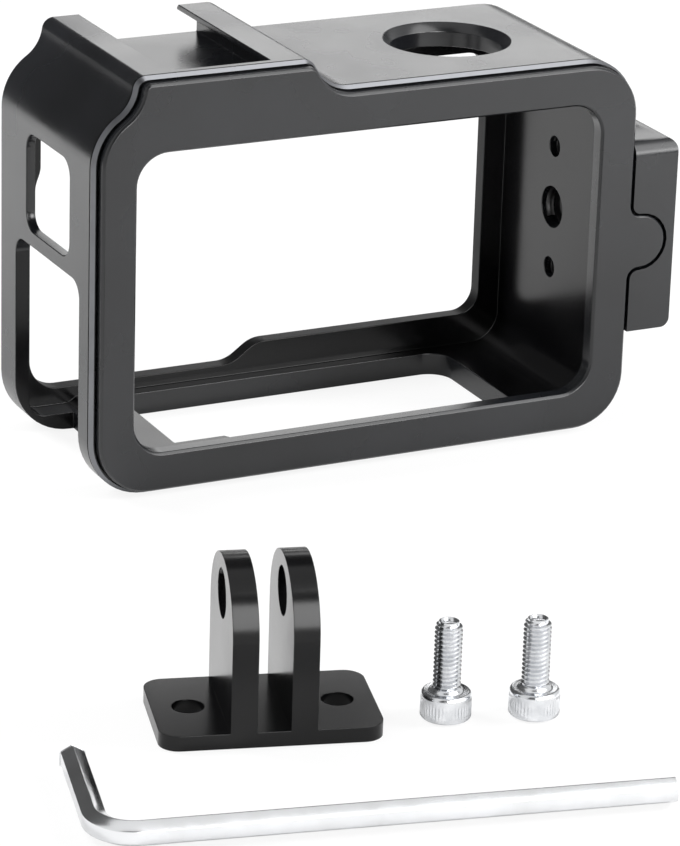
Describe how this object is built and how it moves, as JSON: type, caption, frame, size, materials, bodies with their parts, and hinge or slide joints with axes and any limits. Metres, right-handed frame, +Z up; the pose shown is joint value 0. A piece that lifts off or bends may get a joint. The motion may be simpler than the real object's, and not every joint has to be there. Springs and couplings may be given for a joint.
{
  "type": "action camera cage",
  "caption": "Slim metal cage for an action camera, with a swing door frame, cold shoe, threaded side block, pronged foot bracket, socket head screws and hex key.",
  "frame": {"origin": "middle of the cage's width on the underside of the floor's front bar, 5 mm behind the closed door's outer face; everything stands on z = 0", "axes": "+X towards the threaded side block, +Y from the door towards the lens window, +Z up towards the cold shoe"},
  "size_m": [0.1136, 0.1282, 0.0518],
  "materials": {
    "black_aluminium": "black anodised, bead blasted, satin",
    "foot_aluminium": "black anodised, satin, with brighter cut edges",
    "screw_steel": "bright zinc plating",
    "key_steel": "bright nickel plating over drawn hexagon bar",
    "magnet_nickel": "nickel plated disc magnet"
  },
  "bodies": {
    "cage": {"cage_body": "black_aluminium", "body_magnet": "magnet_nickel", "foot_bracket": "foot_aluminium", "foot_screw_left": "screw_steel", "foot_screw_right": "screw_steel", "hex_key": "key_steel"},
    "door": {"rear_door": "black_aluminium", "door_magnet": "magnet_nickel"}
  },
  "joints": [
    {"name": "door_hinge", "type": "hinge", "parent": "cage", "child": "door", "pos_m": [-0.0356, -0.0037, 0.024], "axis": [0, 0, -1], "range_deg": [0, 50]}
  ]
}
